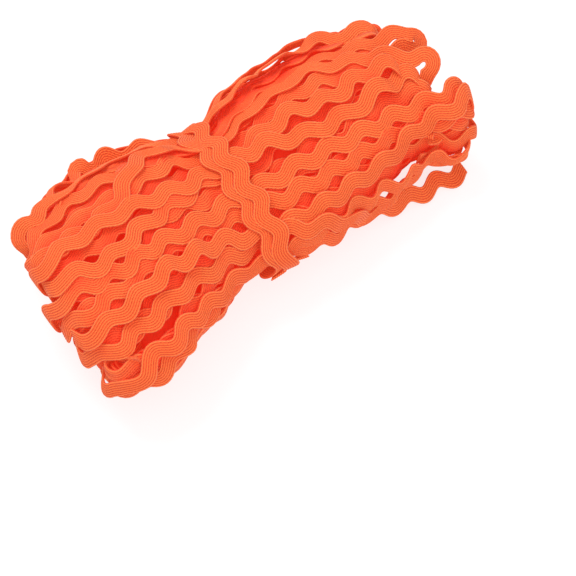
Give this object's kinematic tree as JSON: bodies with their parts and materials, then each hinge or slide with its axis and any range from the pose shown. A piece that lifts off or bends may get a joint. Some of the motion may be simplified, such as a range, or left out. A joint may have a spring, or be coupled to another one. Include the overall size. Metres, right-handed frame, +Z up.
{
  "type": "ric rac hank",
  "caption": "Hank of wavy braided trim, folded to and fro in long loops and tied round its waist with the same trim, with one cut end lying loose beside it.",
  "frame": {"origin": "middle of the footprint, on the plane the hank lies on", "axes": "+X along the hank from its fuller lobe to its slimmer one, -Y towards the side where the loose end lies, +Z up"},
  "size_m": [0.1582, 0.0777, 0.0436],
  "materials": {
    "orange_braid": "woven polyester braid with fine lengthwise ribs, soft low sheen"
  },
  "bodies": {
    "root": {"hank": "orange_braid", "waist_tie": "orange_braid", "loose_end": "orange_braid"}
  },
  "joints": []
}
